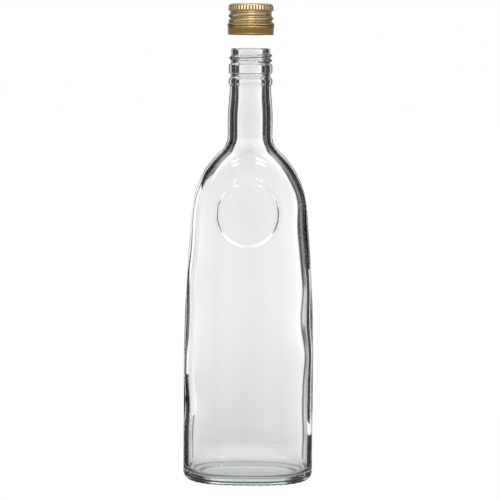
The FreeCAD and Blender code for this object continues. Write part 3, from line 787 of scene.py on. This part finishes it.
add_node(tree, "ShaderNodeOutputMaterial", add_node(tree, "ShaderNodeEmission", (1, 1, 1, 1), glow)[0])
hidden_card("grip_card", [(-30, -62, 296), (30, -62, 296), (30, -62, 335), (-30, -62, 335)], pale_card)
card = hidden_card("cap_flag", [(-80, 150, 274), (80, 150, 274), (80, 150, 420), (-80, 150, 420)], dark_card)
card.visible_transmission = False

# The studio's walls: white paper behind the glass, dark gaps beside it, which draw its edges, and pale walls
# in front. The camera itself sees plain white.
studio = bpy.data.worlds.new("studio")
bpy.context.scene.world = studio
studio.use_nodes = True
tree = studio.node_tree
tree.nodes.clear()
direction = add_node(tree, "ShaderNodeSeparateXYZ", add_node(tree, "ShaderNodeTexCoord")["Generated"])
turn = add_node(tree, "ShaderNodeMath", direction["X"], direction["Y"], operation="ARCTAN2")[0]
turn = add_node(tree, "ShaderNodeMath", turn, operation="DEGREES")[0]
aside = add_node(tree, "ShaderNodeMath", turn, operation="ABSOLUTE")[0]
rise = add_node(tree, "ShaderNodeMath", direction["Z"], operation="ARCSINE")[0]
rise = add_node(tree, "ShaderNodeMath", rise, operation="DEGREES")[0]

# The paper: a little brighter towards its edges and darker low down and high up.
paper = add_node(tree, "ShaderNodeMath", aside, 0.035, 1.0, operation="MULTIPLY_ADD")[0]
paper = add_node(tree, "ShaderNodeMath", turn, 0.007, paper, operation="MULTIPLY_ADD")[0]
paper = add_node(tree, "ShaderNodeMath", paper, 1.46, operation="MINIMUM")[0]
tone = add_node(tree, "ShaderNodeMapRange", rise, -16.5, -8.5, 0.585, 0.81,
                interpolation_type="SMOOTHSTEP")[0]
higher = add_node(tree, "ShaderNodeMapRange", rise, -7.0, 0.0, 1.0, 0.87, interpolation_type="SMOOTHSTEP")[0]
tone = add_node(tree, "ShaderNodeMath", tone, higher, operation="MULTIPLY")[0]
highest = add_node(tree, "ShaderNodeMapRange", rise, 2.0, 6.0, 1.0, 1.22, interpolation_type="SMOOTHSTEP")[0]
tone = add_node(tree, "ShaderNodeMath", tone, highest, operation="MULTIPLY")[0]
paper = add_node(tree, "ShaderNodeMath", paper, tone, operation="MULTIPLY")[0]
for value, start, end, low in ((turn, -14.0, -17.0, 0.0), (turn, 13.0, 16.0, 0.0), (rise, 11.0, 19.0, 0.2)):
    share = add_node(tree, "ShaderNodeMapRange", value, start, end, 1.0, low,
                     interpolation_type="SMOOTHSTEP")[0]
    paper = add_node(tree, "ShaderNodeMath", paper, share, operation="MULTIPLY")[0]

# A softer, wider band of light above the paper, which the bottle's foot shows.
wide = add_node(tree, "ShaderNodeMapRange", aside, 23.0, 16.0, 0.0, 0.42, interpolation_type="SMOOTHSTEP")[0]
for start, end in ((7.0, 11.0), (21.0, 15.0)):
    share = add_node(tree, "ShaderNodeMapRange", rise, start, end, interpolation_type="SMOOTHSTEP")[0]
    wide = add_node(tree, "ShaderNodeMath", wide, share, operation="MULTIPLY")[0]
level = add_node(tree, "ShaderNodeMath", paper, wide, operation="MAXIMUM")[0]

# The walls in front, in three steps, and the gaps.
walls = add_node(tree, "ShaderNodeMapRange", aside, 76.0, 84.0, 0.0, 0.65, interpolation_type="SMOOTHSTEP")[0]
for start, end, more in ((117.0, 135.0, 0.3), (150.0, 166.0, 0.35)):
    share = add_node(tree, "ShaderNodeMapRange", aside, start, end, 0.0, more,
                     interpolation_type="SMOOTHSTEP")[0]
    walls = add_node(tree, "ShaderNodeMath", walls, share, operation="ADD")[0]
share = add_node(tree, "ShaderNodeMapRange", rise, 0.0, 13.0, 0.75, 1.15, interpolation_type="SMOOTHSTEP")[0]
walls = add_node(tree, "ShaderNodeMath", walls, share, operation="MULTIPLY")[0]
gap = add_node(tree, "ShaderNodeMapRange", aside, 24.0, 60.0, 0.004, 0.03, interpolation_type="SMOOTHSTEP")[0]
share = add_node(tree, "ShaderNodeMapRange", aside, 84.0, 76.0, interpolation_type="SMOOTHSTEP")[0]
gap = add_node(tree, "ShaderNodeMath", gap, share, operation="MULTIPLY")[0]
for more in (walls, gap):
    level = add_node(tree, "ShaderNodeMath", level, more, operation="ADD")[0]

# A look down or from the side straight through the glass, with no reflection in its wall, finds the gaps
# filled with paper.
path = add_node(tree, "ShaderNodeLightPath")
straight = add_node(tree, "ShaderNodeMath", path["Glossy Depth"], 0.5, operation="LESS_THAN")[0]
filled = add_node(tree, "ShaderNodeMapRange", aside, 15.0, 20.0, 0.0, 0.8, interpolation_type="SMOOTHSTEP")[0]
falling = add_node(tree, "ShaderNodeMapRange", rise, -6.5, -9.5, 0.0, 1.0, interpolation_type="SMOOTHSTEP")[0]
beside = add_node(tree, "ShaderNodeMapRange", aside, 38.0, 50.0, 0.0, 1.0, interpolation_type="SMOOTHSTEP")[0]
falling = add_node(tree, "ShaderNodeMath", falling, beside, operation="MAXIMUM")[0]
falling = add_node(tree, "ShaderNodeMath", falling, straight, operation="MULTIPLY")[0]
filled = add_node(tree, "ShaderNodeMath", filled, falling, operation="MULTIPLY")[0]
level = add_node(tree, "ShaderNodeMath", level, filled, operation="MAXIMUM")[0]

# Above and below are pale towards the front and grey towards the back.
upper = add_node(tree, "ShaderNodeMapRange", rise, 28.0, 38.0, 0.0, 0.42, interpolation_type="SMOOTHSTEP")[0]
level = add_node(tree, "ShaderNodeMath", level, upper, operation="MAXIMUM")[0]
share = add_node(tree, "ShaderNodeMapRange", rise, -24.0, -36.0, interpolation_type="SMOOTHSTEP")[0]
below = add_node(tree, "ShaderNodeMapRange", direction["Y"], -0.2, 0.2, 0.8, 0.45,
                 interpolation_type="SMOOTHSTEP")[0]
level = add_node(tree, "ShaderNodeMix", sockets={0: share, 2: level, 3: below})[0]
ceiling = add_node(tree, "ShaderNodeMapRange", direction["Y"], -0.35, 0.15, 0.9, 0.3,
                   interpolation_type="SMOOTHSTEP")[0]
share = add_node(tree, "ShaderNodeMapRange", rise, 48.0, 64.0, interpolation_type="SMOOTHSTEP")[0]
level = add_node(tree, "ShaderNodeMix", sockets={0: share, 2: level, 3: ceiling})[0]
ground = add_node(tree, "ShaderNodeBackground", (1, 1, 1, 1), level)[0]
white = add_node(tree, "ShaderNodeBackground", (1, 1, 1, 1), 1.0)[0]
seen = add_node(tree, "ShaderNodeMixShader", path["Is Camera Ray"], ground, white)[0]
add_node(tree, "ShaderNodeOutputWorld", seen)


def soft_lamp(name, place, aim, size, power):
    """A soft box of this width and height that points from one place at another."""
    light = bpy.data.lights.new(name, "AREA")
    light.shape = "RECTANGLE"
    light.size, light.size_y = size
    light.energy = power
    holder = bpy.data.objects.new(name, light)
    bpy.context.collection.objects.link(holder)
    holder.location = place
    holder.rotation_euler = (Vector(place) - Vector(aim)).to_track_quat("Z", "Y").to_euler()


soft_lamp("left_box", (-0.50, -0.72, 0.91), (0, 0, 0.2), (0.28, 0.08), 0.5)
soft_lamp("right_box", (0.385, -0.79, 0.91), (0, 0, 0.2), (0.4, 0.08), 0.75)

# The camera: a long lens at about the height of the lip, looking slightly down, with the photograph's lean.
camera_tilt = math.radians(82.99)
camera_lean = math.radians(0.43)
camera = bpy.data.cameras.new("camera")
camera.lens = 105.4
camera.sensor_width = 36.0
viewer = bpy.data.objects.new("camera", camera)
bpy.context.collection.objects.link(viewer)
viewer.location = (0.46 * mm, -900 * mm, 254.5 * mm)
turned = Matrix.Rotation(camera_tilt, 3, "X") @ Matrix.Rotation(camera_lean, 3, "Z")
viewer.rotation_euler = turned.to_euler()
bpy.context.scene.camera = viewer

bpy.context.scene.view_settings.view_transform = "Standard"
